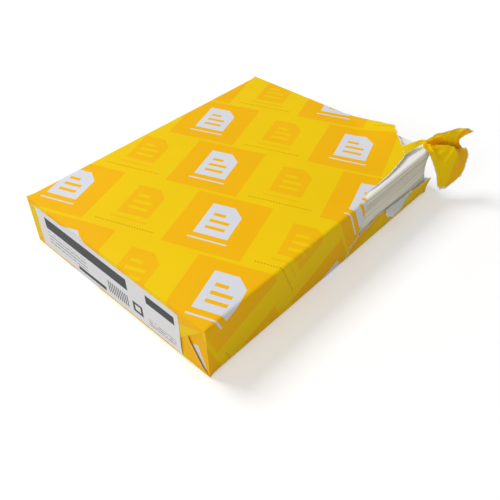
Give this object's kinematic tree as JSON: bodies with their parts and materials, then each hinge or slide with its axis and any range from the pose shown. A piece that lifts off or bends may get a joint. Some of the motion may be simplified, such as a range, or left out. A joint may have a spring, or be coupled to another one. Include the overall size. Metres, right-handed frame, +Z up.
{
  "type": "ream of paper",
  "caption": "Ream of letter copy paper: a block of sheets in a printed paper wrapper with folded ends and an end label, torn open at one corner.",
  "frame": {"origin": "middle of the ream's underside, on the face that it lies on", "axes": "+X to the right along the sheets' short side, +Y along their long side away from the labelled end, +Z up through the sheets"},
  "size_m": [0.2406, 0.3062, 0.068],
  "materials": {
    "sheets": "uncoated white copy paper, matt",
    "wrapper": "printed yellow and orange, satin, white inside",
    "label": "white label paper with plain dark bands, satin"
  },
  "bodies": {
    "root": {"paper_stack": "sheets", "wrapper": "wrapper", "end_label": "label"}
  },
  "joints": []
}
